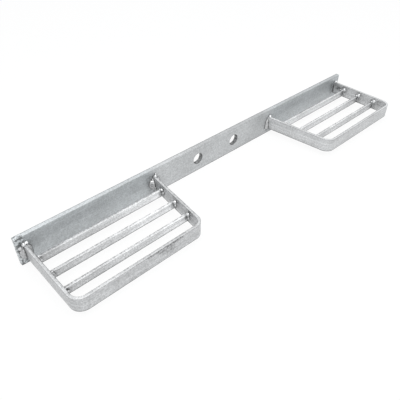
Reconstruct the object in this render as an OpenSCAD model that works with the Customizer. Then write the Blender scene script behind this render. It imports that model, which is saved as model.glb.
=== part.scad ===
// Twin rear step: a drilled mounting plate with a barred, bent-strip foot step at each end.
// Origin: middle of the two bolt holes, on the plate's back face. X runs along the plate,
// +Y points into the vehicle and the steps stand out towards -Y. Z is up.

/* [Mounting plate] */
// Length of the plate
plate_l = 760; // [640:5:1100]
// Height of the plate
plate_h = 50; // [46:1:100]
// Thickness of the plate
plate_t = 8; // [5:0.5:15]
// Radius on the plate's long rolled edges
plate_edge_r = 1; // [0.4:0.1:2]

/* [Bolt holes] */
// Diameter of each bolt hole
bolt_hole_d = 20; // [12:0.5:24]
// Distance between the two holes
bolt_spacing = 90; // [60:1:120]

/* [Step frames] */
// From the plate's end to the outer face of the outer arm
frame_inset = 9; // [9:0.5:30]
// Width over both arms where they meet the plate
frame_w = 231; // [180:1:260]
// How much narrower the step is at its front
frame_taper = 16; // [2:1:40]
// Reach from the plate's front face to the front of the step
frame_d = 135; // [125:1:200]
// Height of the strip
frame_h = 25; // [21:1:28]
// Thickness of the strip
frame_t = 5; // [3:0.5:8]
// Radius on the strip's rolled edges
frame_edge_r = 0.8; // [0.3:0.1:1.4]
// Inside radius of the two front bends
bend_r = 13; // [6:1:25]
// How much each face of the strip draws in where it is bent
bend_thin = 0.05; // [0.03:0.01:0.15]
// Underside of the strip above the plate's lower edge
frame_raise = 11.5; // [6:0.5:14]

/* [Tread bars] */
// Thickness of each bar
tread_t = 5; // [3:0.5:8]
// Height of each bar
tread_h = 13; // [8:0.5:15]
// Radius on each bar's long edges
tread_edge_r = 0.6; // [0.2:0.1:1.2]
// From the plate's front face to the front face of the first bar
tread_first = 25; // [20:0.5:28]
// Open slot between the last bar and the front of the strip
tread_front_slot = 33; // [24:0.5:38]
// Underside of the bars above the underside of the strip
tread_raise = 0; // [0:0.5:4]

/* [Weld beads] */
// Leg on the plate of the beads that hold the arms
arm_weld_on_plate = 8; // [5:0.5:8.5]
// Leg on the arm of those same beads
arm_weld_on_arm = 6; // [3:0.5:8]
// Leg on the arm of the beads at the ends of the tread bars
bar_weld_on_arm = 7; // [4:0.5:8]
// Leg on the bar of those same beads
bar_weld_on_bar = 4; // [2:0.5:5]
// How far each bead stops above the underside of what it holds
weld_stop = 1; // [1:0.5:4]

/* [Hidden] */
$fn = 64;

// Sides of the vehicle: the left step is modelled and the right one is its mirror image
LEFT = 0;
RIGHT = 1;

// Place of a bar, counted from the plate
BACK = 0;
MIDDLE = 1;
FRONT = 2;

// How far a cutter runs past what it cuts
cut_over = 2;
// How far a straight run laps into the bend next to it
bend_lap = 0.4;
// Side of the blocks that trim ends flush with a face
trim_size = 2 * (frame_w + frame_d);

// Colours of the zinc coat on the plate, the strip and the weld beads
plate_zinc = [0.70, 0.72, 0.73];
strip_zinc = [0.76, 0.77, 0.78];
bead_zinc = [0.82, 0.83, 0.84];

// Heights of the strip and the bars, from the middle of the plate
frame_bottom = -plate_h / 2 + frame_raise;
frame_top = frame_bottom + frame_h;
tread_bottom = frame_bottom + tread_raise;
tread_top = tread_bottom + tread_h;

// The inner arm leans away from square by this angle, so that the front is narrower
lean = atan(frame_taper / frame_d);
// Outside radius of the front bends
bend_out_r = bend_r + frame_t;
// The bend of the inner arm is centred this far from the outer arm's outer face
inner_bend_x = frame_w + ((bend_out_r - frame_d) * sin(lean) - bend_out_r) / cos(lean);
// Length of the inner arm's outer face, from the plate to the start of its bend
inner_arm_l = (frame_d - bend_out_r * (1 - sin(lean))) / cos(lean);

// Distance from one bar to the next, so that the three share the reach of the step
tread_pitch = (frame_d - frame_t - tread_front_slot - tread_first) / (FRONT - BACK);

// Distance of a bar's front face from the plate's front face
function tread_front(place) = tread_first + place * tread_pitch;

// Distance of a bar's middle plane from the plate's front face
function tread_middle(place) = tread_front(place) - tread_t / 2;

// Distance along the inner arm at which its inner face is a distance from the plate
function inner_face_reach(distance) = (distance + frame_t * sin(lean)) / cos(lean);

// Rectangle with rounded corners, its lower left corner at the origin
module strip_section(width, height, r) {
    translate([r, 0])
        square([width - 2 * r, height]);
    translate([0, r])
        square([width, height - 2 * r]);
    for (x = [r, width - r], y = [r, height - r])
        translate([x, y])
            circle(r);
}

// Puts a step's own frame in place: x = 0 is the outer arm's outer face, growing towards
// the middle of the plate, and y = 0 is the plate's front face
module on_side(side) {
    mirror([side, 0, 0])
        translate([-plate_l / 2 + frame_inset, -plate_t, 0])
            children();
}

// Puts what is drawn round the origin at the inner arm: x = 0 is then the arm's outer
// face, y runs along the arm, and the outer face meets the plate's front face at y = 0
module along_inner_arm() {
    translate([frame_w, 0, 0])
        rotate([0, 0, -lean])
            children();
}

// Everything on the far side of the inner arm's inner face
module beyond_inner_face() {
    along_inner_arm()
        translate([-frame_t, -trim_size / 2, -trim_size / 2])
            cube(trim_size);
}

// Everything on the far side of the outer arm's inner face
module beyond_outer_face() {
    translate([frame_t - trim_size, -trim_size / 2, -trim_size / 2])
        cube(trim_size);
}

// Everything behind the plate's front face
module behind_plate_face() {
    translate([-trim_size / 2, 0, -trim_size / 2])
        cube(trim_size);
}

// A straight run of the strip from y = 0 along +Y, on the track of a bend that ends there.
// It laps into the bend, and into the next one by the lap given
module strip_run(length, next_lap = 0) {
    translate([bend_r, length + next_lap, frame_bottom])
        rotate([90, 0, 0])
            linear_extrude(bend_lap + length + next_lap)
                strip_section(frame_t, frame_h, frame_edge_r);
}

// A bend of the strip about the origin, from +X round towards +Y
module strip_bend(turn) {
    rotate_extrude(angle = turn)
        translate([bend_r + bend_thin, frame_bottom + bend_thin])
            strip_section(frame_t - 2 * bend_thin, frame_h - 2 * bend_thin, frame_edge_r);
}

// The outer arm, square to the plate and run past its face
module outer_arm() {
    translate([bend_out_r, -frame_d + bend_out_r, 0])
        mirror([1, 0, 0])
            strip_run(frame_d - bend_out_r + cut_over);
}

// The inner arm, leaning towards the outer one and run past the plate's face
module inner_arm() {
    along_inner_arm()
        translate([-bend_out_r, -inner_arm_l, 0])
            strip_run(inner_arm_l + cut_over);
}

// One strip on edge, bent into a U, with its ends cut flush with the plate's face
module step_strip() {
    difference() {
        union() {
            outer_arm();
            translate([bend_out_r, -frame_d + bend_out_r, 0])
                rotate([0, 0, 180])
                    strip_bend(90);
            translate([bend_out_r, -frame_d + bend_out_r, 0])
                rotate([0, 0, -90])
                    strip_run(inner_bend_x - bend_out_r, bend_lap);
            translate([inner_bend_x, -frame_d + bend_out_r, 0])
                rotate([0, 0, -90])
                    strip_bend(90 - lean);
            inner_arm();
        }
        behind_plate_face();
    }
}

// A tread bar's stock, run past the inner faces of both arms
module tread_stock(place) {
    translate([0, -tread_front(place), tread_bottom])
        rotate([90, 0, 90])
            linear_extrude(frame_w)
                strip_section(tread_t, tread_h, tread_edge_r);
}

// A flat bar on edge between the two arms, each end cut to the face of its arm
module tread_bar(place) {
    difference() {
        tread_stock(place);
        beyond_outer_face();
        beyond_inner_face();
    }
}

// A fillet bead round the sides and top of a strip that stands on a wall. The wall is the
// plane y = 0, the strip comes out of it towards -Y and its middle plane is x = 0. The bead
// is the part in front of the wall of a round, dome-topped post whose axis is set back
module fillet_bead(on_wall, on_strip, strip_t, bottom, top) {
    half_w = strip_t / 2 + on_wall;
    set_back = (pow(half_w, 2) - pow(strip_t / 2, 2) - pow(on_strip, 2)) / (2 * on_strip);
    post_r = norm([half_w, set_back]);
    shoulder = top - strip_t / 2;
    start = bottom + weld_stop;
    difference() {
        translate([0, set_back, 0])
            rotate_extrude() {
                translate([0, start])
                    square([post_r, shoulder - start]);
                intersection() {
                    translate([0, shoulder])
                        circle(post_r);
                    translate([0, start])
                        square([post_r, shoulder - start + post_r]);
                }
            }
        behind_plate_face();
    }
}

// The bead round an arm's end on the plate, drawn round the arm's middle plane
module arm_bead() {
    fillet_bead(arm_weld_on_plate, arm_weld_on_arm, frame_t, frame_bottom, frame_top);
}

// The bead round a bar's end on an arm, drawn round the bar's middle plane
module bar_bead() {
    fillet_bead(bar_weld_on_arm, bar_weld_on_bar, tread_t, tread_bottom, tread_top);
}

// Bead between the outer arm and the plate
module outer_arm_bead() {
    difference() {
        translate([frame_t / 2, 0, 0])
            arm_bead();
        outer_arm();
    }
}

// Bead between the leaning inner arm and the plate
module inner_arm_bead() {
    difference() {
        translate([frame_w - frame_t / cos(lean) / 2, 0, 0])
            arm_bead();
        inner_arm();
    }
}

// Bead at a bar's end on the outer arm
module outer_bar_bead(place) {
    difference() {
        translate([frame_t, -tread_middle(place), 0])
            rotate([0, 0, 90])
                bar_bead();
        tread_stock(place);
    }
}

// Bead at a bar's end on the leaning inner arm
module inner_bar_bead(place) {
    difference() {
        along_inner_arm()
            translate([-frame_t, -inner_face_reach(tread_middle(place)), 0])
                rotate([0, 0, -90])
                    bar_bead();
        tread_stock(place);
    }
}

module mounting_plate() {
    color(plate_zinc)
        difference() {
            translate([-plate_l / 2, -plate_t, -plate_h / 2])
                rotate([90, 0, 90])
                    linear_extrude(plate_l)
                        strip_section(plate_t, plate_h, plate_edge_r);
            for (x = [-bolt_spacing / 2, bolt_spacing / 2])
                translate([x, cut_over, 0])
                    rotate([90, 0, 0])
                        cylinder(d = bolt_hole_d, h = plate_t + 2 * cut_over);
        }
}

module left_step_frame() {
    color(strip_zinc)
        on_side(LEFT)
            step_strip();
}

module right_step_frame() {
    color(strip_zinc)
        on_side(RIGHT)
            step_strip();
}

module left_back_tread_bar() {
    color(strip_zinc)
        on_side(LEFT)
            tread_bar(BACK);
}

module left_middle_tread_bar() {
    color(strip_zinc)
        on_side(LEFT)
            tread_bar(MIDDLE);
}

module left_front_tread_bar() {
    color(strip_zinc)
        on_side(LEFT)
            tread_bar(FRONT);
}

module right_back_tread_bar() {
    color(strip_zinc)
        on_side(RIGHT)
            tread_bar(BACK);
}

module right_middle_tread_bar() {
    color(strip_zinc)
        on_side(RIGHT)
            tread_bar(MIDDLE);
}

module right_front_tread_bar() {
    color(strip_zinc)
        on_side(RIGHT)
            tread_bar(FRONT);
}

module left_outer_arm_weld() {
    color(bead_zinc)
        on_side(LEFT)
            outer_arm_bead();
}

module left_inner_arm_weld() {
    color(bead_zinc)
        on_side(LEFT)
            inner_arm_bead();
}

module right_outer_arm_weld() {
    color(bead_zinc)
        on_side(RIGHT)
            outer_arm_bead();
}

module right_inner_arm_weld() {
    color(bead_zinc)
        on_side(RIGHT)
            inner_arm_bead();
}

module left_back_bar_outer_weld() {
    color(bead_zinc)
        on_side(LEFT)
            outer_bar_bead(BACK);
}

module left_back_bar_inner_weld() {
    color(bead_zinc)
        on_side(LEFT)
            inner_bar_bead(BACK);
}

module left_middle_bar_outer_weld() {
    color(bead_zinc)
        on_side(LEFT)
            outer_bar_bead(MIDDLE);
}

module left_middle_bar_inner_weld() {
    color(bead_zinc)
        on_side(LEFT)
            inner_bar_bead(MIDDLE);
}

module left_front_bar_outer_weld() {
    color(bead_zinc)
        on_side(LEFT)
            outer_bar_bead(FRONT);
}

module left_front_bar_inner_weld() {
    color(bead_zinc)
        on_side(LEFT)
            inner_bar_bead(FRONT);
}

module right_back_bar_outer_weld() {
    color(bead_zinc)
        on_side(RIGHT)
            outer_bar_bead(BACK);
}

module right_back_bar_inner_weld() {
    color(bead_zinc)
        on_side(RIGHT)
            inner_bar_bead(BACK);
}

module right_middle_bar_outer_weld() {
    color(bead_zinc)
        on_side(RIGHT)
            outer_bar_bead(MIDDLE);
}

module right_middle_bar_inner_weld() {
    color(bead_zinc)
        on_side(RIGHT)
            inner_bar_bead(MIDDLE);
}

module right_front_bar_outer_weld() {
    color(bead_zinc)
        on_side(RIGHT)
            outer_bar_bead(FRONT);
}

module right_front_bar_inner_weld() {
    color(bead_zinc)
        on_side(RIGHT)
            inner_bar_bead(FRONT);
}

mounting_plate();
left_step_frame();
right_step_frame();
left_back_tread_bar();
left_middle_tread_bar();
left_front_tread_bar();
right_back_tread_bar();
right_middle_tread_bar();
right_front_tread_bar();
left_outer_arm_weld();
left_inner_arm_weld();
right_outer_arm_weld();
right_inner_arm_weld();
left_back_bar_outer_weld();
left_back_bar_inner_weld();
left_middle_bar_outer_weld();
left_middle_bar_inner_weld();
left_front_bar_outer_weld();
left_front_bar_inner_weld();
right_back_bar_outer_weld();
right_back_bar_inner_weld();
right_middle_bar_outer_weld();
right_middle_bar_inner_weld();
right_front_bar_outer_weld();
right_front_bar_inner_weld();
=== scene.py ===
"""Twin rear step: a drilled mounting plate with a barred foot step near each end, all
hot-dip galvanised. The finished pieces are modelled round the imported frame, in metres.
"""

import math
import random

import bmesh
import bpy
from bpy.props import FloatProperty, FloatVectorProperty, IntProperty, PointerProperty
from mathutils import Matrix, Vector


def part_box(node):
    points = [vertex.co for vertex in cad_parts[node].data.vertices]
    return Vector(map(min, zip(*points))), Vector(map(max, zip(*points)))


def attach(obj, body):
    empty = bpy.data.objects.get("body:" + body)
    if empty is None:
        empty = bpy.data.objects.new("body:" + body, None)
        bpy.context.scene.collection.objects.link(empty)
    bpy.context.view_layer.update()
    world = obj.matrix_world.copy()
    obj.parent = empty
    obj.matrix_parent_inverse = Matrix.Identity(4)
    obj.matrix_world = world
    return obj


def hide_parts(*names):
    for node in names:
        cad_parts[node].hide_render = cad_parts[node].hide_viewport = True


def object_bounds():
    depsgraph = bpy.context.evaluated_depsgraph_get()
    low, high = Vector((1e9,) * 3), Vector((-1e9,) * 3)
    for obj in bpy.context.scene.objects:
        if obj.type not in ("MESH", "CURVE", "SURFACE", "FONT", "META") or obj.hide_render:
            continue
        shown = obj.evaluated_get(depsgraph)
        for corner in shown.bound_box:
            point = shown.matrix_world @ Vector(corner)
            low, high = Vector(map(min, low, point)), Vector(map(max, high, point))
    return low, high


bl_info = {
    "name": "Twin Rear Step",
    "version": (1, 0, 0),
    "blender": (4, 5, 0),
    "location": "3D View > Sidebar > Twin Step",
    "description": "Models a galvanised twin rear step, its welds and a plain studio",
    "category": "Mesh",
}

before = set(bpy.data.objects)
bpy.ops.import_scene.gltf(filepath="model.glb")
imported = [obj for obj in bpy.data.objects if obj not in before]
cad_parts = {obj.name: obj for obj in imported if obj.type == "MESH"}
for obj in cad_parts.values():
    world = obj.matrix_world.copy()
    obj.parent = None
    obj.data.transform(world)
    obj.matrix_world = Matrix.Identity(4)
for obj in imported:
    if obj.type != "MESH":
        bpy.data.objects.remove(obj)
CAD_LOW, CAD_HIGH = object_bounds()

MM = 0.001

# The two steps and the three bars of each, by the names that the frame's nodes carry
SIDES = ("left", "right")
PLACES = ("back", "middle", "front")
ARMS = ("outer", "inner")

PLATE_LOW, PLATE_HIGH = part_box("mounting_plate")
FRAME_LOW, FRAME_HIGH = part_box("left_step_frame")
BAR_LOW, BAR_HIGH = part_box("left_back_tread_bar")

# Thickness of the bent strip: the bars start where the outer arm ends
STRIP_T = BAR_LOW.x - FRAME_LOW.x
# The plate's front face, where the arms and their welds meet it
PLATE_FACE = PLATE_LOW.y


class StepSizes(bpy.types.PropertyGroup):
    """Sizes of the twin step that the frame's boxes don't give"""

    hole_diameter: FloatProperty(
        name="Bolt hole",
        description="Diameter of each bolt hole in the plate",
        default=20 * MM,
        min=8 * MM,
        max=30 * MM,
        precision=4,
        subtype="DISTANCE",
        unit="LENGTH",
    )
    hole_spacing: FloatProperty(
        name="Bolt spacing",
        description="Distance between the middles of the two bolt holes",
        default=90 * MM,
        min=40 * MM,
        max=160 * MM,
        precision=4,
        subtype="DISTANCE",
        unit="LENGTH",
    )
    bend_radius: FloatProperty(
        name="Bend radius",
        description="Inside radius of the two front bends of each strip",
        default=13 * MM,
        min=4 * MM,
        max=30 * MM,
        precision=4,
        subtype="DISTANCE",
        unit="LENGTH",
    )
    front_taper: FloatProperty(
        name="Front taper",
        description="How much narrower each step is at its front than at the plate",
        default=16 * MM,
        min=0,
        max=40 * MM,
        precision=4,
        subtype="DISTANCE",
        unit="LENGTH",
    )
    plate_edge: FloatProperty(
        name="Plate edge",
        description="Radius on the plate's rolled edges",
        default=1.0 * MM,
        min=0.2 * MM,
        max=3 * MM,
        precision=5,
        subtype="DISTANCE",
        unit="LENGTH",
    )
    strip_edge: FloatProperty(
        name="Strip edge",
        description="Radius on the long edges of the bent strips",
        default=0.8 * MM,
        min=0.2 * MM,
        max=2 * MM,
        precision=5,
        subtype="DISTANCE",
        unit="LENGTH",
    )
    bar_edge: FloatProperty(
        name="Bar edge",
        description="Radius on the long edges of the tread bars",
        default=0.6 * MM,
        min=0.2 * MM,
        max=2 * MM,
        precision=5,
        subtype="DISTANCE",
        unit="LENGTH",
    )
    arm_on_plate: FloatProperty(
        name="Arm weld on plate",
        description="Leg on the plate of the beads that hold the arms",
        default=8 * MM,
        min=4 * MM,
        max=9 * MM,
        precision=5,
        subtype="DISTANCE",
        unit="LENGTH",
    )
    arm_on_arm: FloatProperty(
        name="Arm weld on arm",
        description="Leg on the arm of those same beads",
        default=6 * MM,
        min=2 * MM,
        max=8 * MM,
        precision=5,
        subtype="DISTANCE",
        unit="LENGTH",
    )
    bar_on_arm: FloatProperty(
        name="Bar weld on arm",
        description="Leg on the arm of the beads at the ends of the tread bars",
        default=7 * MM,
        min=4 * MM,
        max=8 * MM,
        precision=5,
        subtype="DISTANCE",
        unit="LENGTH",
    )
    bar_on_bar: FloatProperty(
        name="Bar weld on bar",
        description="Leg on the bar of those same beads",
        default=4 * MM,
        min=2 * MM,
        max=5 * MM,
        precision=5,
        subtype="DISTANCE",
        unit="LENGTH",
    )
    weld_stop: FloatProperty(
        name="Weld stop",
        description="How far each bead stops above the underside of what it holds",
        default=1 * MM,
        min=0,
        max=5 * MM,
        precision=5,
        subtype="DISTANCE",
        unit="LENGTH",
    )
    ripple: FloatProperty(
        name="Ripple pitch",
        description="Distance from one ripple of a weld bead to the next",
        default=3.2 * MM,
        min=1 * MM,
        max=5 * MM,
        precision=5,
        subtype="DISTANCE",
        unit="LENGTH",
    )
    coat_wave: FloatProperty(
        name="Coat unevenness",
        description="How much the zinc coat varies over the flat faces",
        default=0.3 * MM,
        min=0,
        max=1 * MM,
        precision=5,
        subtype="DISTANCE",
        unit="LENGTH",
    )


class ZincColours(bpy.types.PropertyGroup):
    """Colours of the zinc coat on each kind of piece"""

    plate: FloatVectorProperty(
        name="Plate",
        description="Zinc on the mounting plate",
        default=(0.503, 0.514, 0.519),
        min=0,
        max=1,
        subtype="COLOR",
    )
    strip: FloatVectorProperty(
        name="Strip",
        description="Zinc on the bent strips",
        default=(0.53, 0.536, 0.54),
        min=0,
        max=1,
        subtype="COLOR",
    )
    bar: FloatVectorProperty(
        name="Bars",
        description="Zinc on the tread bars",
        default=(0.56, 0.565, 0.569),
        min=0,
        max=1,
        subtype="COLOR",
    )
    bead: FloatVectorProperty(
        name="Welds",
        description="Zinc on the weld beads",
        default=(0.6, 0.605, 0.61),
        min=0,
        max=1,
        subtype="COLOR",
    )


class StageSettings(bpy.types.PropertyGroup):
    """The plain studio round the twin step"""

    key_power: FloatProperty(
        name="Key light",
        description="Power of the large soft light above the step",
        default=15.0,
        min=0,
        unit="POWER",
    )
    fill_level: FloatProperty(
        name="Room light",
        description="Level of the pale light from all round",
        default=0.82,
        min=0,
        max=2,
    )
    shadow_share: FloatProperty(
        name="Shadow",
        description="Share of the floor's own shading, and so of the shadow, that shows",
        default=0.12,
        min=0,
        max=1,
        subtype="FACTOR",
    )


def only(obj):
    """Leave edit mode, and make this the one selected and active object."""
    if bpy.context.mode != "OBJECT":
        bpy.ops.object.mode_set(mode="OBJECT")
    bpy.ops.object.select_all(action="DESELECT")
    obj.select_set(True)
    bpy.context.view_layer.objects.active = obj


def edit(obj):
    """Go into edit mode on this object alone."""
    only(obj)
    bpy.ops.object.mode_set(mode="EDIT")


def pick(obj, kind, wanted):
    """In edit mode, select just the VERT, EDGE or FACE parts that pass the test."""
    bpy.ops.mesh.select_mode(type=kind)
    bpy.ops.mesh.select_all(action="DESELECT")
    mesh = bmesh.from_edit_mesh(obj.data)
    parts = {"VERT": mesh.verts, "EDGE": mesh.edges, "FACE": mesh.faces}[kind]
    found = 0
    for part in parts:
        if wanted(part):
            part.select_set(True)
            found += 1
    mesh.select_flush_mode()
    bmesh.update_edit_mesh(obj.data)
    if not found:
        raise RuntimeError(f"nothing to select on {obj.name}")


def middle(edge):
    """Middle point of an edge."""
    return (edge.verts[0].co + edge.verts[1].co) / 2


def runs_along(edge, axis):
    """True if an edge lies along this axis, either way round."""
    line = (edge.verts[1].co - edge.verts[0].co).normalized()
    return abs(line.dot(Vector(axis))) > 0.999


def is_sharp(edge):
    """True if the two faces of an edge meet at a clear corner."""
    return len(edge.link_faces) == 2 and edge.calc_face_angle() > math.radians(50)


def block(name, low, high):
    """A block from corner to corner, with its place in its mesh."""
    low = Vector(low)
    high = Vector(high)
    bpy.ops.mesh.primitive_cube_add(size=1, location=(low + high) / 2, scale=high - low)
    obj = bpy.context.object
    obj.name = name
    obj.data.name = name
    only(obj)
    bpy.ops.object.transform_apply(location=True, rotation=True, scale=True)
    return obj


def close_up(obj):
    """Merge doubled points and turn every face outwards."""
    edit(obj)
    bpy.ops.mesh.select_all(action="SELECT")
    bpy.ops.mesh.remove_doubles(threshold=0.01 * MM)
    bpy.ops.mesh.normals_make_consistent(inside=False)
    only(obj)


def apply_modifier(obj, kind, **settings):
    """Add one modifier with these settings and apply it."""
    only(obj)
    bpy.ops.object.modifier_add(type=kind)
    modifier = obj.modifiers[-1]
    for key, value in settings.items():
        setattr(modifier, key, value)
    bpy.ops.object.modifier_apply(modifier=modifier.name)


def clouds(name, grain, depth=2):
    """A soft procedural noise with this grain, in metres."""
    texture = bpy.data.textures.new(name, type="CLOUDS")
    texture.noise_scale = grain
    texture.noise_depth = depth
    return texture


def uneven(obj, texture, strength, level=1.0):
    """Give the surface a slight wave. At level 1 it only sinks, and at 0.5 it goes both ways."""
    apply_modifier(
        obj, "DISPLACE", texture=texture, strength=strength, mid_level=level,
        texture_coords="LOCAL", direction="NORMAL",
    )


def round_edges(obj, width, wanted, steps=3):
    """Round the chosen edges in edit mode."""
    pick(obj, "EDGE", wanted)
    bpy.ops.mesh.bevel(offset=width, offset_type="OFFSET", segments=steps, profile=0.5)


def cut_into(obj, axis, cuts, longer_than):
    """Divide the long edges that run along an axis, so that the coat can vary there."""
    pick(
        obj, "EDGE",
        lambda e: runs_along(e, axis) and e.calc_length() > longer_than,
    )
    bpy.ops.mesh.subdivide(number_cuts=cuts)


def trim(obj, point, outward):
    """Cut off what lies beyond a plane and close the cut."""
    edit(obj)
    bpy.ops.mesh.select_all(action="SELECT")
    bpy.ops.mesh.bisect(
        plane_co=point, plane_no=outward, use_fill=True, clear_outer=True, threshold=1e-6,
    )
    only(obj)


def smooth(obj, degrees=40):
    """Smooth shading with clear corners kept."""
    only(obj)
    bpy.ops.object.shade_smooth_by_angle(angle=math.radians(degrees))


def copy_of(obj, name):
    """A copy with its own mesh."""
    twin = obj.copy()
    twin.data = obj.data.copy()
    twin.name = name
    twin.data.name = name
    bpy.context.scene.collection.objects.link(twin)
    return twin


def settle(obj, matrix):
    """Move a piece's mesh by a matrix, and leave the object at the origin."""
    only(obj)
    obj.matrix_world = matrix
    bpy.ops.object.transform_apply(location=True, rotation=True, scale=True)
    close_up(obj)


def fit(obj, node, material):
    """The piece stands for a node of the frame and wears this material."""
    obj.data.materials.clear()
    obj.data.materials.append(material)
    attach(obj, "root")
    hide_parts(node)


MIRROR = Matrix.Diagonal((-1, 1, 1, 1))


def lean_angle(sizes):
    """How far an inner arm leans away from square to the plate."""
    return math.atan(sizes.front_taper / (FRAME_HIGH.y - FRAME_LOW.y))


def inner_arm_frame(sizes):
    """Matrix of the left step's inner arm: x = 0 is its outer face and -y runs to the front."""
    start = Matrix.Translation((FRAME_HIGH.x, PLATE_FACE, 0))
    return start @ Matrix.Rotation(-lean_angle(sizes), 4, "Z")


def bar_spot(sizes, place, arm):
    """Matrix of the spot where a bar of the left step meets one of its arms.

    The arm's face is y = 0, and the bar comes out of it towards -y."""
    low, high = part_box(f"left_{place}_tread_bar")
    bar_y = (low.y + high.y) / 2
    if arm == "outer":
        turn = Matrix.Rotation(math.radians(90), 4, "Z")
        return Matrix.Translation((low.x, bar_y, 0)) @ turn
    lean = lean_angle(sizes)
    reach = (PLATE_FACE - bar_y + STRIP_T * math.sin(lean)) / math.cos(lean)
    on_face = Matrix.Translation((-STRIP_T, -reach, 0))
    return inner_arm_frame(sizes) @ on_face @ Matrix.Rotation(math.radians(-90), 4, "Z")


def new_material(name):
    """An empty node material with its shader linked to the output."""
    material = bpy.data.materials.new(name)
    material.use_nodes = True
    tree = material.node_tree
    tree.nodes.clear()
    shader = tree.nodes.new("ShaderNodeBsdfPrincipled")
    output = tree.nodes.new("ShaderNodeOutputMaterial")
    tree.links.new(shader.outputs["BSDF"], output.inputs["Surface"])
    return material, tree, shader


def add_node(tree, kind, **settings):
    """A node with these settings."""
    made = tree.nodes.new(kind)
    for key, value in settings.items():
        setattr(made, key, value)
    return made


def calculate(tree, operation, first, second):
    """A maths node. Each side is a socket or a number."""
    made = add_node(tree, "ShaderNodeMath", operation=operation)
    for socket, value in zip(made.inputs, (first, second)):
        if isinstance(value, bpy.types.NodeSocket):
            tree.links.new(value, socket)
        else:
            socket.default_value = value
    return made.outputs[0]


def spread(tree, value, low, high, to_low, to_high):
    """Maps a value smoothly from one range to another."""
    made = add_node(tree, "ShaderNodeMapRange", interpolation_type="SMOOTHSTEP")
    tree.links.new(value, made.inputs["Value"])
    made.inputs["From Min"].default_value = low
    made.inputs["From Max"].default_value = high
    made.inputs["To Min"].default_value = to_low
    made.inputs["To Max"].default_value = to_high
    return made.outputs["Result"]


def noise(tree, place, scale, detail=2.0, roughness=0.5, stretch=None):
    """A noise value over the piece, finer with a larger scale and longer where stretched."""
    if stretch:
        mapping = add_node(tree, "ShaderNodeMapping")
        mapping.inputs["Scale"].default_value = stretch
        tree.links.new(place, mapping.inputs["Vector"])
        place = mapping.outputs["Vector"]
    made = add_node(tree, "ShaderNodeTexNoise")
    made.inputs["Scale"].default_value = scale
    made.inputs["Detail"].default_value = detail
    made.inputs["Roughness"].default_value = roughness
    tree.links.new(place, made.inputs["Vector"])
    return made.outputs["Fac"]


def spangle(tree, place, scale):
    """The crystals of a zinc coat: one random tone for each cell."""
    cells = add_node(tree, "ShaderNodeTexVoronoi", feature="F1")
    cells.inputs["Scale"].default_value = scale
    tree.links.new(place, cells.inputs["Vector"])
    parts = add_node(tree, "ShaderNodeSeparateColor")
    tree.links.new(cells.outputs["Color"], parts.inputs["Color"])
    return parts.outputs["Red"]


def paint(tree, shader, colour, tone):
    """The colour times a tone that varies over the piece."""
    mix = add_node(tree, "ShaderNodeMix", data_type="RGBA", blend_type="MULTIPLY")
    mix.inputs["Factor"].default_value = 1
    mix.inputs["A"].default_value = (*colour, 1)
    tree.links.new(tone, mix.inputs["B"])
    tree.links.new(mix.outputs["Result"], shader.inputs["Base Color"])
    return mix


def relief(tree, shader, height, strength, distance):
    """A fine bump on the shader."""
    bump = add_node(tree, "ShaderNodeBump")
    bump.inputs["Strength"].default_value = strength
    bump.inputs["Distance"].default_value = distance
    tree.links.new(height, bump.inputs["Height"])
    tree.links.new(bump.outputs["Normal"], shader.inputs["Normal"])


def zinc(name, low, high, streak, mottle, speck, top_light, brow_shade):
    """Hot-dip zinc for a piece whose long edges lie at the heights low and high.

    The tone varies by the streak, the mottle and the speck, and by painted light and shade: the
    top light and the brow are those of the painted edge lines, and the stored dark marks are
    mostly painted shade. Gives the material, its tree, its shader, its coordinates and its tone."""
    material, tree, shader = new_material(name)
    coords = add_node(tree, "ShaderNodeTexCoord")
    place = coords.outputs["Object"]

    crystals = spangle(tree, place, 620)
    broad = noise(tree, place, 22, detail=3)
    fine = noise(tree, place, 430, detail=3, roughness=0.65)
    lines = noise(tree, place, 1, detail=3, stretch=(9, 9, 420))

    tone = spread(tree, broad, 0.3, 0.7, 1 - mottle, 1 + mottle)
    tone = calculate(tree, "MULTIPLY", tone, spread(tree, lines, 0.3, 0.7, 1 - streak, 1 + streak))
    tone = calculate(
        tree, "MULTIPLY", tone, spread(tree, crystals, 0, 1, 1 - speck / 2, 1 + speck / 2),
    )
    tone = calculate(tree, "MULTIPLY", tone, spread(tree, fine, 0.36, 0.64, 1 - speck, 1 + speck))
    # Painted light and shade: brighter faces that look up, dark lines along the edges
    tone = calculate(tree, "MULTIPLY", tone, painted_edge_light(tree, coords, low, high, top_light, brow_shade))
    # Stored dark marks, mostly painted shade round the welds and inside the steps
    tone = calculate(tree, "MULTIPLY", tone, stain_and_shade(tree, place))

    tree.links.new(spread(tree, broad, 0.3, 0.7, 0.36, 0.5), shader.inputs["Roughness"])
    shader.inputs["Metallic"].default_value = 0.4
    bumps = calculate(tree, "ADD", fine, calculate(tree, "MULTIPLY", crystals, 0.4))
    relief(tree, shader, bumps, 0.4, 0.3 * MM)
    return material, tree, shader, coords, tone


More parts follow.
